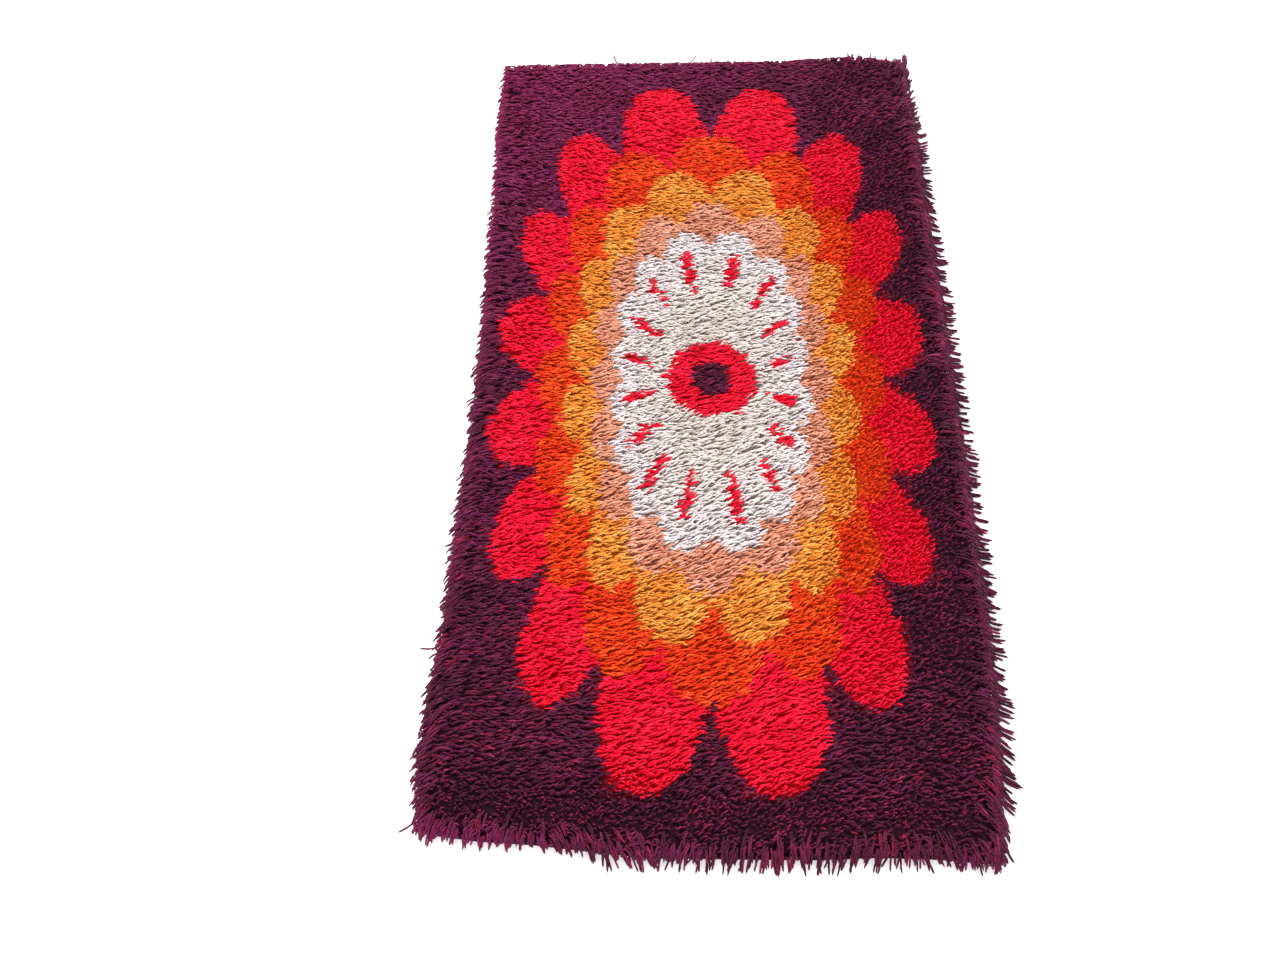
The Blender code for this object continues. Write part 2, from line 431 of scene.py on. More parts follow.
# %% Which way each strand leans, and how far
FLAT_LEAN = (0.021, 0.028)
UPRIGHT_LEAN = (0.007, 0.013)
SHORTEST_LEAN = 0.005
LONGEST_LEAN = 0.052
KNOT_TURN = math.radians(4)
OWN_TURN = math.radians(6)
UPRIGHT_TURN = math.radians(14)
SWATHE_TURN = math.radians(7)
FALLING_TURN = {"knot": 0.9, "own": 0.5}
SHARE_FALLING = 0.65
EXTRA_LENGTH = 0.45
PAIRED = 0.7


def per_strand(values):
    """Gives each of a knot's strands the knot's value."""
    return np.repeat(values, STRANDS_A_KNOT)


edges = inside_by(per_strand(knot_x), per_strand(knot_y))
strands = len(edges["left"])
beside = np.tile([-0.25, 0.25], knots) * ROW_SPACING
strand_x = per_strand(knot_x) + chance.normal(0, 0.0010, strands)
strand_y = per_strand(knot_y) + beside + chance.normal(0, 0.0004, strands)

knot_turn = per_strand(chance.normal(0, KNOT_TURN, knots))
own_turn = chance.normal(0, OWN_TURN, strands)
swathe = SWATHE_TURN * unevenness(strand_x, strand_y, 0.10, 31)
along_lay = lay(strand_x, strand_y) + swathe + knot_turn + own_turn
on_right = np.clip((strand_x - 0.09) / 0.13, 0, 1) * np.clip(1.5 - np.abs(strand_y) / 0.68, 0.6, 1)
at_near_end = np.clip((-0.58 - strand_y) / 0.07, 0, 1)
upright = np.maximum(on_right, at_near_end) + 0.15 * unevenness(strand_x, strand_y, 0.15, 32)
upright = np.clip(upright, 0, 1)
along_lay = along_lay + upright * chance.normal(0, UPRIGHT_TURN, strands)
lean = chance.uniform(*FLAT_LEAN, strands) * (1 - upright)
lean = lean + chance.uniform(*UPRIGHT_LEAN, strands) * upright

heading, reach = along_lay, lean
extra = np.arange(strands) >= rows * columns * STRANDS_A_KNOT
topples = np.zeros(strands, bool)
for side, habit in RIM.items():
    along_side = strand_y if side in ("left", "right") else strand_x
    place = along_side / (FIELD_LENGTH if side in ("left", "right") else FIELD_WIDTH)
    outward, long, pull = rim_habit(side, place, along_side, swathe)
    first = edges[side] < habit["line"]
    odds = np.clip(1 - (edges[side] - habit["line"]) / habit["swing"], 0, 1)
    share = np.where(first, habit["first"], SHARE_FALLING * np.sqrt(odds))
    falls = per_strand(chance.random(knots)) < share
    past = per_strand(chance.uniform(*habit["past"], knots)) + chance.uniform(-0.002, 0.002, strands)
    past[::2] *= chance.uniform(habit["even"], 1.0, knots)
    past = past * long * np.where(first, 1.0, habit["inner"])
    past = past * np.where(extra & (side == "right"), EXTRA_LENGTH, 1)
    out = np.maximum(edges[side] + past, 0.004)
    out = np.where(first, out, np.minimum(out, habit["longest"] * chance.uniform(0.8, 1.0, strands)))
    fallen = outward + pull / out + FALLING_TURN["knot"] * knot_turn + FALLING_TURN["own"] * own_turn
    heading = np.where(falls, fallen, heading)
    reach = np.where(falls, out, reach)
    topples |= falls
reach = np.clip(reach, SHORTEST_LEAN, LONGEST_LEAN)
right_locks = topples & (edges["right"] < RIM["right"]["line"])
strand_y = strand_y - PAIRED * beside * right_locks
print(f"mean lean {reach.mean() * 1000:.0f} mm, {topples.sum()} strands fall past the rim")

# %% [markdown]
# A few strands have worked loose and stick out much farther than the rest: three at the far end, one on
# the left side and one at the near left corner. Each takes the place of the strand rooted nearest to it.

# %% Stray threads
STRAYS = (
    {"across": -0.44, "along": 1.0, "heading": 112, "past": 0.040},
    {"across": -0.09, "along": 1.0, "heading": 64, "past": 0.040},
    {"across": 0.02, "along": 1.0, "heading": 72, "past": 0.028},
    {"across": -1.0, "along": -0.63, "heading": 176, "past": 0.024},
    {"across": -1.0, "along": -0.98, "heading": 206, "past": 0.024},
)
for stray in STRAYS:
    root_x, root_y = on_field(np.array([stray["across"]]), np.array([stray["along"]]))
    nearest = np.argmin(np.hypot(strand_x - root_x, strand_y - root_y))
    heading[nearest], reach[nearest] = math.radians(stray["heading"]), stray["past"] + 0.004
    strand_x[nearest], strand_y[nearest], topples[nearest] = root_x[0], root_y[0], True

# %% [markdown]
# A strand's centre line starts at its knot and curves up to the pile's surface, where its last third lies
# along its neighbours. So the tips are on top, like shingles on a roof, and a strand hides the next one
# but for a short wavy stroke. At the far right corner the locks stick out stiffly and don't sag to the
# floor. Each step of the line is a column of one array with a row for every strand, so all the lines are
# worked out at once.

# %% The centre lines of the strands
STEPS = np.array([0.0, 0.38, 0.70, 0.92, 1.0])
ROOT_HEIGHT = 0.004
TIP_DROOP = 0.0012
SNAKE = 0.0011
STRAND_RADIUS = 0.0015
RADIUS_SHARES = np.array([0.85, 1.0, 1.04, 0.92, 0.4])
FLOOR_GAP = 0.0002
SURFACE_SWELL = 0.0005
STIFF_HEIGHT = 0.015
RIM_WIDTH = 0.024
LAYER = {"spread": 0.030, "knot_sinks": 0.06, "upright_rises": 0.05}
FALLING = {"pace": 1.7, "curve": 4.0, "snake": 0.3, "bend": 0.05}
LYING = {"pace": 1.2, "curve": 2.5, "snake": 1.0, "bend": 0.10}
UPRIGHT_CURVE = -1.0
RIM_CURVE = 2.5


def centre_lines(x, y, heading, reach, layer, least, pace, curve, snake, phase, bend):
    """Points (strand, step, xyz) of strands at their roots x, y.

    Forward: reach * t ^ pace. Sideways: bend * reach * t ^ 2 + snake * a sine that grows with t.
    Upwards: from the root to layer * pile surface, or the least height where that is more, as
    1 - (1 - t) ^ curve, then a slight droop."""
    t = STEPS[None, :]
    forward = reach[:, None] * t ** pace[:, None]
    snaking = snake[:, None] * np.sin(2 * np.pi * (1.5 * t + phase[:, None])) * np.minimum(1, 2 * t)
    sideways = (bend * reach)[:, None] * t ** 2 + snaking
    cos, sin = np.cos(heading)[:, None], np.sin(heading)[:, None]
    px = x[:, None] + forward * cos - sideways * sin
    py = y[:, None] + forward * sin + sideways * cos
    risen = 1 - (1 - t) ** curve[:, None]
    swell = SURFACE_SWELL * np.sin(2 * np.pi * (1.3 * t + 1.7 * phase[:, None])) * t
    top = np.maximum(layer[:, None] * pile_surface(px, py), least[:, None]) - STRAND_RADIUS
    pz = ROOT_HEIGHT + (top - ROOT_HEIGHT) * risen - TIP_DROOP * t ** 4 + swell
    lowest = STRAND_RADIUS * RADIUS_SHARES[None, :] + FLOOR_GAP
    return np.stack([px, py, np.maximum(pz, lowest)], axis=-1)


layer = 1.0 + chance.normal(0, LAYER["spread"], strands)
layer = layer - LAYER["knot_sinks"] * per_strand(chance.random(knots)) + LAYER["upright_rises"] * upright
by_edge = np.clip(1 - np.minimum.reduce(list(edges.values())) / RIM_WIDTH, 0, 1)
far_right = np.clip((strand_y - 0.52) / 0.08, 0, 1) * np.clip((strand_x - 0.16) / 0.08, 0, 1)
least = STIFF_HEIGHT * topples * far_right
pace = np.where(topples, FALLING["pace"], LYING["pace"])
lying_curve = LYING["curve"] + UPRIGHT_CURVE * upright + RIM_CURVE * by_edge
curve = np.where(topples, FALLING["curve"], lying_curve)
snake = np.where(topples, FALLING["snake"], LYING["snake"]) * SNAKE
bend = np.where(topples, FALLING["bend"], LYING["bend"]) * chance.normal(0, 1, strands)
lines = centre_lines(
    strand_x, strand_y, heading, reach, layer, least, pace, curve, snake, chance.random(strands), bend
)
measured = np.linalg.norm(np.diff(lines, axis=1), axis=-1).sum(1)
highest = lines[..., 2].max()
print(f"strands {measured.mean() * 1000:.0f} mm long on average, tips up to {highest * 1000:.0f} mm")

# %% [markdown]
# Round each line goes a thin tube. In a picture of the whole carpet a strand is only about two pixels
# wide, so three sides with smooth shading are enough, and they keep forty thousand strands light. The
# tube is closed at the root by a face, and at the tip by a blunt cone to the line's last point. Each tube
# also carries what its finish needs: a UV map that counts round the strand and turns of twist along it,
# and attributes for its shade, for how light it is, and for how far from the knot each point is, which
# sets the painted shade towards the knot. At the rim daylight gets down to the knots, so there the last
# of these is lifted and less shade is painted.

# %% The tubes of yarn
SIDES = 3
TWIST_LENGTH = 0.010


def tube_arrays(lines, radius, spin):
    """Points, faces, UVs and the share along each strand for tubes round the lines.

    A ring's corner k is centre + r (cos(2 pi k / 3 + spin) side + sin(2 pi k / 3 + spin) up)."""
    count, rings_each = lines.shape[0], lines.shape[1] - 1
    tangent = np.gradient(lines, axis=1)[:, :-1]
    tangent /= np.linalg.norm(tangent, axis=-1, keepdims=True)
    flat = lines[:, -1, :2] - lines[:, 0, :2]
    flat /= np.linalg.norm(flat, axis=-1, keepdims=True)
    side = np.stack([-flat[:, 1], flat[:, 0], np.zeros(count)], axis=-1)[:, None, :]
    side = side - (side * tangent).sum(-1, keepdims=True) * tangent
    side /= np.linalg.norm(side, axis=-1, keepdims=True)
    up = np.cross(tangent, side)
    turn = 2 * np.pi * np.arange(SIDES)[None, None, :] / SIDES + spin[:, None, None]
    thick = (radius[:, None] * RADIUS_SHARES[None, :-1])[..., None, None]
    around = np.cos(turn)[..., None] * side[:, :, None, :] + np.sin(turn)[..., None] * up[:, :, None, :]
    rings = lines[:, :-1, None, :] + thick * around
    rings[..., 2] = np.maximum(rings[..., 2], 0.0001)
    points = np.concatenate([rings.reshape(count, -1, 3), lines[:, -1:]], axis=1)

    step, corner = np.meshgrid(np.arange(rings_each - 1), np.arange(SIDES), indexing="ij")
    after = (corner + 1) % SIDES
    ring, next_ring = step * SIDES, (step + 1) * SIDES
    walls = np.stack([ring + corner, ring + after, next_ring + after, next_ring + corner], axis=-1)
    walls = walls.reshape(-1, 4)
    last = (rings_each - 1) * SIDES
    corner = np.arange(SIDES)
    cone = np.stack([last + corner, last + (corner + 1) % SIDES, np.full(SIDES, last + SIDES)], axis=-1)
    root = np.array([[2, 1, 0]])
    shift = (np.arange(count) * (rings_each * SIDES + 1))[:, None, None]
    faces = [(part[None] + shift).reshape(-1, part.shape[1]) for part in (walls, cone, root)]

    turns = np.linalg.norm(np.diff(lines, axis=1), axis=-1).cumsum(1) / TWIST_LENGTH
    turns = np.concatenate([np.zeros((count, 1)), turns], axis=1)
    around_u = np.stack([corner, corner + 1, corner + 1, corner], axis=-1) / SIDES
    wall_u = np.tile(around_u, (rings_each - 1, 1, 1)).reshape(-1, 4)
    low, high = turns[:, :-2], turns[:, 1:-1]
    wall_v = np.repeat(np.stack([low, low, high, high], axis=-1), SIDES, axis=1)
    wall_uv = np.stack([np.broadcast_to(wall_u, wall_v.shape), wall_v], axis=-1)
    cone_u = np.stack([corner, corner + 1, corner + 0.5], axis=-1) / SIDES
    cone_v = np.stack([turns[:, -2], turns[:, -2], turns[:, -1]], axis=-1)
    cone_v = np.repeat(cone_v[:, None, :], SIDES, axis=1)
    cone_uv = np.stack([np.broadcast_to(cone_u, cone_v.shape), cone_v], axis=-1)
    root_uv = np.zeros((count, 3, 2))
    uvs = np.concatenate([part.reshape(-1, 2) for part in (wall_uv, cone_uv, root_uv)])
    along = np.tile(np.append(np.repeat(STEPS[:-1], SIDES), 1.0), count)
    return points.reshape(-1, 3), faces, uvs, along


def strand_piece(name, lines, radius, spin, shade, light, lift):
    """One mesh of many strands, with its twist UVs and its shade, light and along attributes."""
    points, faces, uvs, along = tube_arrays(lines, radius, spin)
    piece = new_piece(name, points, faces)
    piece.data.uv_layers.new(name="twist").data.foreach_set("uv", uvs.astype(np.float32).ravel())
    each = (lines.shape[1] - 1) * SIDES + 1
    values = {
        "shade": np.repeat(shade, each),
        "light": np.repeat(light, each),
        "along": np.minimum(along + np.repeat(lift, each), 1),
    }
    for attribute, numbers in values.items():
        stored = piece.data.attributes.new(attribute, "FLOAT", "POINT")
        stored.data.foreach_set("value", numbers.astype(np.float32))
    return piece


strand_triangles = 2 * SIDES * (len(STEPS) - 2) + SIDES + 1
print(f"{strand_triangles} triangles a strand, {strand_triangles * strands} in all")

# %% [markdown]
# The yarn is plied wool: two fuzzy threads twisted round each other, dyed in the hank. Wool scatters
# light at its scaly fibres, so it's matt, with a soft sheen at grazing angles and hardly any gloss. Each
# strand takes its own shade from a short ramp, because hand-dyed yarn is never one colour. Towards the
# knot its colour is mixed into a darker root colour: painted shade, for the light that gets down there
# only after bouncing from strand to strand and taking up more dye each time. The twist is a bump that
# follows the UV map, and fine noise gives the fuzz. Where that noise is high, a pale colour is mixed in:
# painted highlights, for loose fibres catching the sun. The light attribute paints the yarn paler.

# %% Plied wool yarn
WOOL_ROUGHNESS = 0.64
WOOL_SPECULAR = 0.16
PLIES = 2
PLY_DEPTH = 0.0006
DARK_UP_TO = 0.1
LIT_FROM = 0.8
FIBRE_SIZE = 0.0014      # a wool fibre is 0.03 mm, drawn as 1.4 mm clumps so that it shows


def plied_wool(name, painted_root_shade, stops, painted_glint_and_sheen_tint, painted_glint_share, sheen):
    """Wool yarn: its painted root shade, its shade stops (place, hex), its painted glints and its sheen."""
    material = bpy.data.materials.new(name)
    material.use_nodes = True
    tree = material.node_tree
    wool = tree.nodes["Principled BSDF"]

    shade = add_node(tree, "ShaderNodeAttribute", attribute_name="shade")
    ramp = add_node(tree, "ShaderNodeValToRGB", {"Fac": shade.outputs["Fac"]})
    for place, colour in stops[2:]:
        ramp.color_ramp.elements.new(place)
    for element, (place, colour) in zip(ramp.color_ramp.elements, stops):
        element.position = place
        element.color = linear(colour)
    # painted shade: towards the knot the colour is mixed into the darker root colour
    along = add_node(tree, "ShaderNodeAttribute", attribute_name="along")
    lit = add_node(
        tree, "ShaderNodeMapRange",
        {"Value": along.outputs["Fac"], "From Min": DARK_UP_TO, "From Max": LIT_FROM},
    )
    with_painted_root_shade = add_node(
        tree, "ShaderNodeMix",
        {"Factor": lit.outputs["Result"], "A": linear(painted_root_shade), "B": ramp.outputs["Color"]},
        data_type="RGBA",
    )

    on_carpet = add_node(tree, "ShaderNodeTexCoord")
    fuzz = add_node(
        tree, "ShaderNodeTexNoise",
        {"Vector": on_carpet.outputs["Object"], "Scale": 1 / FIBRE_SIZE, "Detail": 2.0, "Roughness": 0.6},
    )
    mottle = add_node(
        tree, "ShaderNodeMapRange",
        {"Value": fuzz.outputs["Fac"], "From Min": 0.3, "From Max": 0.7, "To Min": 0.80, "To Max": 1.16},
    )
    light = add_node(tree, "ShaderNodeAttribute", attribute_name="light")
    lightness = add_node(
        tree, "ShaderNodeMath", {0: mottle.outputs["Result"], 1: light.outputs["Fac"]}, operation="MULTIPLY"
    )
    mottled = add_node(
        tree, "ShaderNodeVectorMath",
        {0: with_painted_root_shade.outputs["Result"], "Scale": lightness.outputs["Value"]}, operation="SCALE",
    )
    # painted highlights: where the fuzz noise is high, a pale glint colour is mixed into the base colour
    painted_glinting = add_node(
        tree, "ShaderNodeMapRange",
        {"Value": fuzz.outputs["Fac"], "From Min": 0.60, "From Max": 0.72, "To Max": painted_glint_share},
    )
    colour = add_node(
        tree, "ShaderNodeMix",
        {"Factor": painted_glinting.outputs["Result"], "A": mottled.outputs["Vector"], "B": linear(painted_glint_and_sheen_tint)},
        data_type="RGBA",
    )
    tree.links.new(colour.outputs["Result"], wool.inputs["Base Color"])

    twist = add_node(tree, "ShaderNodeUVMap", uv_map="twist")
    parts = add_node(tree, "ShaderNodeSeparateXYZ", {"Vector": twist.outputs["UV"]})
    turned = add_node(
        tree, "ShaderNodeMath", {0: parts.outputs["X"], 1: parts.outputs["Y"]}, operation="ADD"
    )
    angle = add_node(
        tree, "ShaderNodeMath", {0: turned.outputs["Value"], 1: math.pi * PLIES}, operation="MULTIPLY"
    )
    wave = add_node(tree, "ShaderNodeMath", {0: angle.outputs["Value"]}, operation="SINE")
    ply = add_node(tree, "ShaderNodeMath", {0: wave.outputs["Value"]}, operation="ABSOLUTE")
    rough = add_node(
        tree, "ShaderNodeMath",
        {0: fuzz.outputs["Fac"], 1: 0.5, 2: ply.outputs["Value"]}, operation="MULTIPLY_ADD",
    )
    bump = add_node(
        tree, "ShaderNodeBump", {"Strength": 0.7, "Distance": PLY_DEPTH, "Height": rough.outputs["Value"]}
    )
    tree.links.new(bump.outputs["Normal"], wool.inputs["Normal"])

    wool.inputs["Roughness"].default_value = WOOL_ROUGHNESS
    wool.inputs["Specular IOR Level"].default_value = WOOL_SPECULAR
    wool.inputs["Sheen Weight"].default_value = sheen
    wool.inputs["Sheen Roughness"].default_value = 0.45
    wool.inputs["Sheen Tint"].default_value = linear(painted_glint_and_sheen_tint)
    return material


PLUM_STOPS = (
    (0.0, "#26061F"), (0.30, "#440A28"), (0.52, "#5C0E30"), (0.66, "#621444"), (0.80, "#8C1234"),
    (1.0, "#A83A6A"),
)
CRIMSON_STOPS = ((0.0, "#DA0424"), (0.5, "#FF0836"), (1.0, "#FF2C54"))
ORANGE_STOPS = ((0.0, "#DC1A08"), (0.5, "#F83E0E"), (1.0, "#FF762A"))
GOLD_STOPS = ((0.0, "#EC7222"), (0.5, "#F89E3A"), (1.0, "#FFCA6A"))
PINK_STOPS = ((0.0, "#DC8260"), (0.5, "#F0A484"), (1.0, "#FCC4AC"))
OFFWHITE_STOPS = ((0.0, "#DCD2C4"), (0.5, "#F0E6E0"), (1.0, "#FBF0F8"))
# Each yarn gets its painted root shade, its stops, its painted glint colour and share, and its sheen.
FINISHES = {
    "plum": plied_wool("plum_plied_wool", "#22030F", PLUM_STOPS, "#D088A8", 0.26, 0.15),
    "crimson": plied_wool("crimson_plied_wool", "#C80018", CRIMSON_STOPS, "#FF6474", 0.12, 0.05),
    "orange": plied_wool("orange_plied_wool", "#B81C02", ORANGE_STOPS, "#FFA468", 0.14, 0.07),
    "gold": plied_wool("gold_plied_wool", "#C04C0C", GOLD_STOPS, "#FFE4B0", 0.16, 0.08),
    "pink": plied_wool("dusty_pink_plied_wool", "#A84C34", PINK_STOPS, "#FFE0D4", 0.18, 0.10),
    "offwhite": plied_wool("off_white_plied_wool", "#98746C", OFFWHITE_STOPS, "#FFFFFF", 0.25, 0.15),
}
print(len(FINISHES), "yarns dyed")

# %% [markdown]
# The pattern is knotted, not printed, so a strand has one colour from root to tip. Because it lies over
# its neighbours, it shows its colour beside its knot and not above it. The pattern is therefore read at
# the middle of what shows of the knot's strands, and the strands' length gives the combed, jagged borders
# by itself. The plum is painted paler towards the far end and the left side and at the near left corner:
# painted light, where more light falls on the pile. Strands that stand upright look finer, because only
# their tips show. Each yarn is one joined mesh. Plum and crimson cover so much that they're cut into
# bands along the carpet.

# %% The pile, one piece for each yarn
SHOWN_AT = 0.62
BORDER_JITTER = 0.0022
BANDS = {"plum": 3, "crimson": 2}
# painted light: how much paler the plum is painted at the far left and near left, and where it stands
# upright
PALER = {"painted_light_far_left": 0.85, "painted_light_near_left": 0.80, "upright": 0.12}
PALE_SHADE = 0.56
LOCK_DARKER = 0.12
LOCK_THICKER = 1.3
UPRIGHT_THINNER = 0.18
RIM_LIGHT = 0.6
SHADE_SHARES = {"strand": 0.40, "knot": 0.35, "hank": 0.25}

shown_x = (strand_x + SHOWN_AT * reach * np.cos(heading)).reshape(knots, -1).mean(1)
shown_y = (strand_y + SHOWN_AT * reach * np.sin(heading)).reshape(knots, -1).mean(1)
knot_yarn, knot_share = flower(
    shown_x + chance.normal(0, BORDER_JITTER, knots), shown_y + chance.normal(0, BORDER_JITTER, knots)
)
yarn = per_strand(knot_yarn)
hank = 0.5 + 0.35 * unevenness(strand_x, strand_y, 0.09, 41)
shade = SHADE_SHARES["strand"] * chance.random(strands)
shade = shade + SHADE_SHARES["knot"] * per_strand(chance.random(knots)) + SHADE_SHARES["hank"] * hank
# painted light: paler towards the far end and the left side, where more light falls
painted_light_far_left = np.clip((strand_y - 0.05) / 0.55, 0, 1) * np.clip(0.75 - strand_x / 0.6, 0.15, 1)
painted_light_far_left = painted_light_far_left + 0.4 * np.clip(-strand_x / 0.30, 0, 1) * np.clip((strand_y + 0.60) / 0.4, 0, 1)
outwards = np.clip(per_strand(knot_share) / TIERS[-1]["reach"], 0, 1)
# painted light: paler at the near left corner, where more light falls on the near edge
painted_light_near_left = np.clip(1.3 - edges["near"] / 0.022, 0, 1) * np.clip((-strand_x - 0.15) / 0.10, 0, 1)
plum = yarn == YARNS.index("plum")
paler = PALER["painted_light_far_left"] * painted_light_far_left + PALER["painted_light_near_left"] * painted_light_near_left + PALER["upright"] * upright
light = np.where(plum, 1 + paler, 1)
# where the plum is painted paler, its shades are drawn together towards one violet
shade = shade + (PALE_SHADE - shade) * np.clip(0.6 * painted_light_far_left + 0.8 * painted_light_near_left, 0, 0.8) * plum
shade = shade - LOCK_DARKER * right_locks
shade = np.where(yarn == YARNS.index("offwhite"), 0.35 * shade + 0.65 * outwards, shade)
shade = np.clip(shade, 0, 1)
radius = STRAND_RADIUS * chance.uniform(0.88, 1.12, strands) * (1 - UPRIGHT_THINNER * upright * ~topples)
radius = radius * np.where(right_locks, LOCK_THICKER, 1)
spin = chance.uniform(0, 2 * np.pi, strands)
lift = RIM_LIGHT * by_edge

for number, name in enumerate(YARNS):
    bands = BANDS.get(name, 1)
    members = np.flatnonzero(yarn == number)
    members = members[np.argsort(strand_y[members], kind="stable")]
    for band, group in enumerate(np.array_split(members, bands)):
        piece_name = f"{name}_pile_{band + 1}" if bands > 1 else f"{name}_pile"
        piece = strand_piece(
            piece_name, lines[group], radius[group], spin[group], shade[group], light[group], lift[group]
        )
        piece.data.materials.append(FINISHES[name])
        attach(piece, "root")
        print(piece_name, len(group), "strands,", triangles(piece), "triangles")

# %% [markdown]
# Under the tips the strands crowd together into a felted mass, which a viewer only glimpses in the gaps.
# A closed, lumpy bed takes its place and stands for the plain slab. Its colour follows the pattern and
# is painted shade: far darker than the yarn, as the shadow between strands is.

# %% The bed of the pile
BED_DEPTH = 0.0080
BED_FOOT = 0.0026
BED_CELLS = (36, 72)
BED_INSET = (0.985, 0.992)
BED_FUZZ_SIZE = 0.004
# painted shade: each yarn's colour darkened as the shadow between the strands
BED_SHADE_COLOURS = {
    "plum": "#30101F", "crimson": "#B00414", "orange": "#B8300A",
    "gold": "#C06018", "pink": "#A85C48", "offwhite": "#A08C84",
}


def closed_slab(name, across, along, top, bottom):
    """A closed shell from two grids of heights over the field, with a wall between their rims."""
    x, y = on_field(across, along)
    rows, columns = x.shape
    points = np.concatenate([np.stack([x, y, z], axis=-1).reshape(-1, 3) for z in (top, bottom)])
    index = np.arange(rows * columns).reshape(rows, columns)
    corners = (index[:-1, :-1], index[:-1, 1:], index[1:, 1:], index[1:, :-1])
    quads = np.stack(corners, axis=-1).reshape(-1, 4)
    ring = np.concatenate([index[0, :-1], index[:-1, -1], index[-1, :0:-1], index[:0:-1, 0]])
    after = np.roll(ring, -1)
    under = rows * columns
    wall = np.stack([ring + under, after + under, after, ring], axis=-1)
    return new_piece(name, points, [quads, quads[:, ::-1] + under, wall])


bed_across, bed_along = np.meshgrid(
    np.linspace(-BED_INSET[0], BED_INSET[0], BED_CELLS[0] + 1),
    np.linspace(-BED_INSET[1], BED_INSET[1], BED_CELLS[1] + 1),
)
bed_x, bed_y = on_field(bed_across, bed_along)
bed_top = np.maximum(pile_surface(bed_x, bed_y) - BED_DEPTH, BED_FOOT + 0.001)
bed = closed_slab("pile_bed", bed_across, bed_along, bed_top, np.full_like(bed_top, BED_FOOT))
bed_yarn = flower(np.tile(bed_x.ravel(), 2), np.tile(bed_y.ravel(), 2))[0]
bed_palette = np.array([linear(BED_SHADE_COLOURS[name]) for name in YARNS])
bed_layer = bed.data.attributes.new("bed_painted_shade", "FLOAT_COLOR", "POINT")
bed_layer.data.foreach_set("color", bed_palette[bed_yarn].astype(np.float32).ravel())

bed_finish = bpy.data.materials.new("felted_wool_in_painted_shade")
bed_finish.use_nodes = True
bed_tree = bed_finish.node_tree
bed_shader = bed_tree.nodes["Principled BSDF"]
bed_shader.inputs["Roughness"].default_value = 1.0
bed_shader.inputs["Specular IOR Level"].default_value = 0.1
bed_place = add_node(bed_tree, "ShaderNodeTexCoord")
bed_painted_shade = add_node(bed_tree, "ShaderNodeAttribute", attribute_name="bed_painted_shade")
bed_fuzz = add_node(
    bed_tree, "ShaderNodeTexNoise",
    {"Vector": bed_place.outputs["Object"], "Scale": 1 / BED_FUZZ_SIZE, "Detail": 3.0},
)
bed_patch = add_node(
    bed_tree, "ShaderNodeMapRange",
    {"Value": bed_fuzz.outputs["Fac"], "From Min": 0.35, "From Max": 0.65, "To Min": 0.6, "To Max": 1.1},
)
bed_mixed = add_node(
    bed_tree, "ShaderNodeVectorMath",
    {0: bed_painted_shade.outputs["Color"], "Scale": bed_patch.outputs["Result"]}, operation="SCALE",
)
bed_tree.links.new(bed_mixed.outputs["Vector"], bed_shader.inputs["Base Color"])
bed_bump = add_node(bed_tree, "ShaderNodeBump", {"Distance": 0.002, "Height": bed_fuzz.outputs["Fac"]})
bed_tree.links.new(bed_bump.outputs["Normal"], bed_shader.inputs["Normal"])
bed.data.materials.append(bed_finish)
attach(bed, "root")
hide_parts("shag_carpet")
print("bed:", triangles(bed), "triangles")

# %% [markdown]
# The ground is a firm plain weave of wool on linen. From above it's hidden, but from below the backs of
# the knots show as close ribs, one for each row. It's a thin flat sheet.

# %% The woven ground
GROUND_THICK = 0.0024
RIB_DEPTH = 0.0007
SAMPLES_A_RIB = 3
GROUND_COLUMNS = 10
ONE_BAND_A_UNIT = 0.314      # a wave texture of this scale repeats once in each unit

ground_across, ground_along = np.meshgrid(
    np.linspace(-1, 1, GROUND_COLUMNS + 1), np.linspace(-1, 1, rows * SAMPLES_A_RIB + 1)
)
rib = (1 - np.cos(2 * np.pi * np.arange(rows * SAMPLES_A_RIB + 1) / SAMPLES_A_RIB)) / 2 * RIB_DEPTH
ground_bottom = np.broadcast_to(rib[:, None], ground_across.shape)
ground = closed_slab(
    "woven_ground", ground_across, ground_along, np.full(ground_across.shape, GROUND_THICK), ground_bottom
)

ground_finish = bpy.data.materials.new("plain_weave_wool")
ground_finish.use_nodes = True
ground_tree = ground_finish.node_tree
ground_shader = ground_tree.nodes["Principled BSDF"]
ground_place = add_node(ground_tree, "ShaderNodeTexCoord")
ground_across_knots = add_node(
    ground_tree, "ShaderNodeMapping", {"Vector": ground_place.outputs["Object"]}, vector_type="POINT"
)
ground_across_knots.inputs["Scale"].default_value = (2 / KNOT_SPACING, 1 / ROW_SPACING, 1.0)
ground_threads = add_node(
    ground_tree, "ShaderNodeTexWave",
    {
        "Vector": ground_across_knots.outputs["Vector"],
        "Scale": ONE_BAND_A_UNIT, "Distortion": 0.6, "Detail": 1.0,
    },
    wave_type="BANDS", bands_direction="X",
)
ground_colour = add_node(ground_tree, "ShaderNodeValToRGB", {"Fac": ground_threads.outputs["Fac"]})
ground_colour.color_ramp.elements[0].color = linear("#32142A")
ground_colour.color_ramp.elements[1].color = linear("#6A3A58")
ground_tree.links.new(ground_colour.outputs["Color"], ground_shader.inputs["Base Color"])
ground_bump = add_node(
    ground_tree, "ShaderNodeBump", {"Distance": 0.0008, "Height": ground_threads.outputs["Fac"]}
)
ground_tree.links.new(ground_bump.outputs["Normal"], ground_shader.inputs["Normal"])
ground_shader.inputs["Roughness"].default_value = 0.95
ground.data.materials.append(ground_finish)
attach(ground, "root")

# %% [markdown]
# A pale floor and soft light, as in a studio with white walls. A broad sun from behind the far end rakes
# along the pile, so each strand has a lit upper side and a dark gap below it, and the bright surroundings
# fill the shadows. Depth of field would only blur the strands, so it stays off.

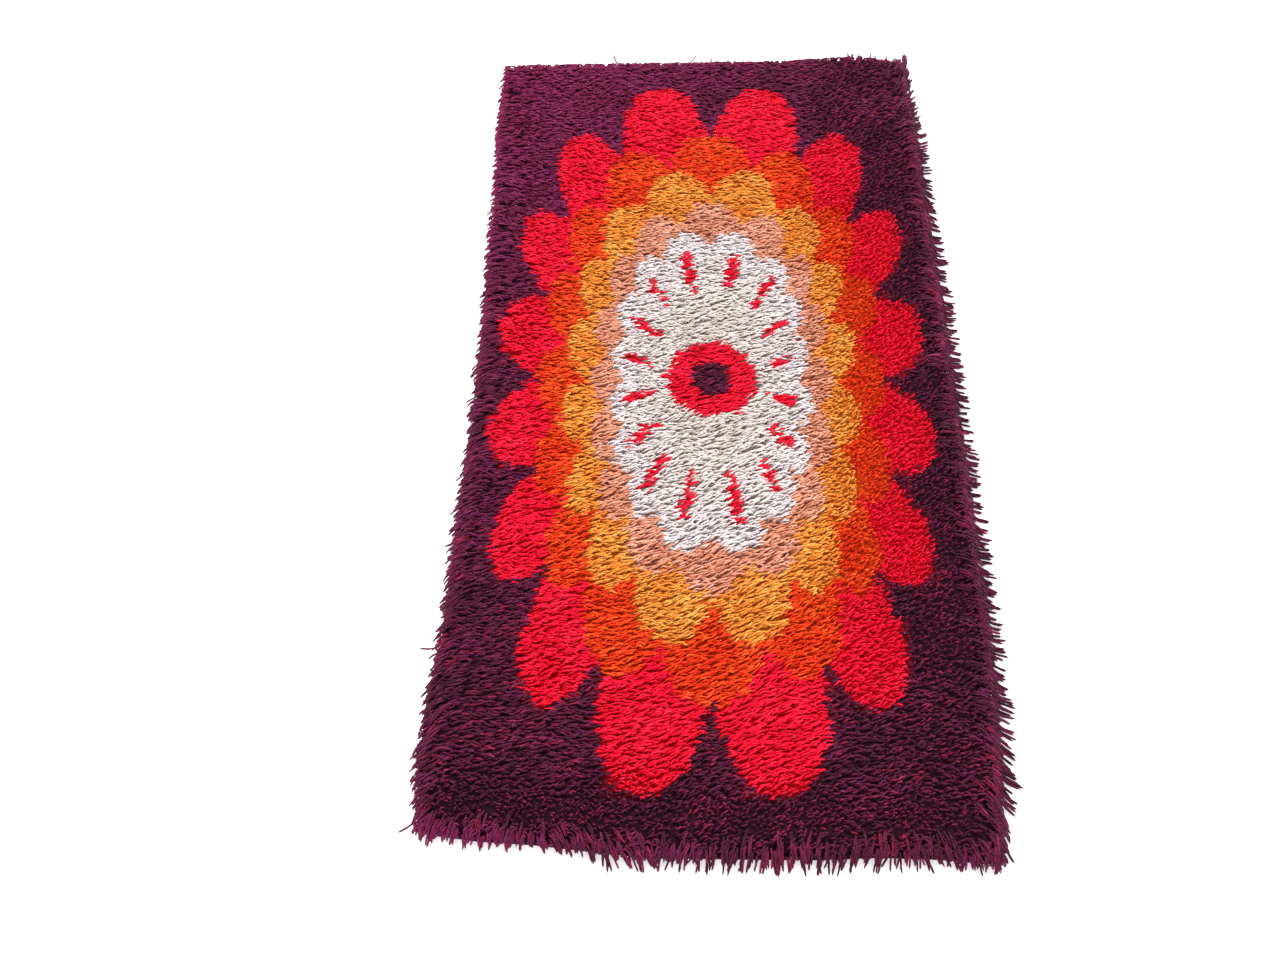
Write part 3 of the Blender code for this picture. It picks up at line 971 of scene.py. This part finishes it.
# %% Floor and light
FLOOR_HALF = 15.0
FLOOR_LEVEL = -0.0004
floor_corners = np.array([[-1, -1, 0], [1, -1, 0], [1, 1, 0], [-1, 1, 0]]) * FLOOR_HALF
floor_corners[:, 2] = FLOOR_LEVEL
floor = new_piece("floor", floor_corners, [np.array([[0, 1, 2, 3]])], smooth=False)
floor_finish = bpy.data.materials.new("matt_pale_floor")
floor_finish.use_nodes = True
floor_shader = floor_finish.node_tree.nodes["Principled BSDF"]
floor_shader.inputs["Base Color"].default_value = linear("#F4F3F2")
floor_shader.inputs["Roughness"].default_value = 0.9
floor_shader.inputs["Emission Color"].default_value = linear("#FFFFFF")
floor_shader.inputs["Emission Strength"].default_value = 0.5
floor.data.materials.append(floor_finish)

sun_light = bpy.data.lights.new("window", "SUN")
sun_light.energy = 2.5
sun_light.angle = math.radians(10)
sun = bpy.data.objects.new("window", sun_light)
sun.rotation_euler = (math.radians(-38), math.radians(-8), 0)
bpy.context.scene.collection.objects.link(sun)

world = bpy.data.worlds.new("white_studio")
world.use_nodes = True
background = world.node_tree.nodes["Background"]
background.inputs["Color"].default_value = linear("#FFFFFF")
background.inputs["Strength"].default_value = 1.0
bpy.context.scene.world = world
bpy.context.scene.view_settings.view_transform = "Standard"
print("sun", sun_light.energy, "world", background.inputs["Strength"].default_value)

# %% [markdown]
# The camera looks down on the carpet from just past its near end. Its place and tilt were worked out from
# the four corners of the field in the photo, taken as a rectangle of the known ratio.

# %% Camera
PHOTO_WIDTH_PX = 1280
FOCAL_PX = 1240
SENSOR_MM = 36.0
CAMERA_PLACE = (-0.0387, -1.0972, 1.5097)
CAMERA_ELEVATION = math.radians(58.30)
CAMERA_AZIMUTH = math.radians(3.34)
CAMERA_ROLL = math.radians(-2.18)

camera_data = bpy.data.cameras.new("camera")
camera_data.sensor_width = SENSOR_MM
camera_data.lens = SENSOR_MM * FOCAL_PX / PHOTO_WIDTH_PX
camera = bpy.data.objects.new("camera", camera_data)
camera.matrix_world = (
    Matrix.Translation((CAMERA_PLACE[0] + MIDDLE_X, CAMERA_PLACE[1] + MIDDLE_Y, CAMERA_PLACE[2]))
    @ Matrix.Rotation(CAMERA_AZIMUTH, 4, "Z")
    @ Matrix.Rotation(math.pi / 2 - CAMERA_ELEVATION, 4, "X")
    @ Matrix.Rotation(CAMERA_ROLL, 4, "Z")
)
bpy.context.scene.collection.objects.link(camera)
bpy.context.scene.camera = camera
print(f"lens {camera_data.lens:.1f} mm")
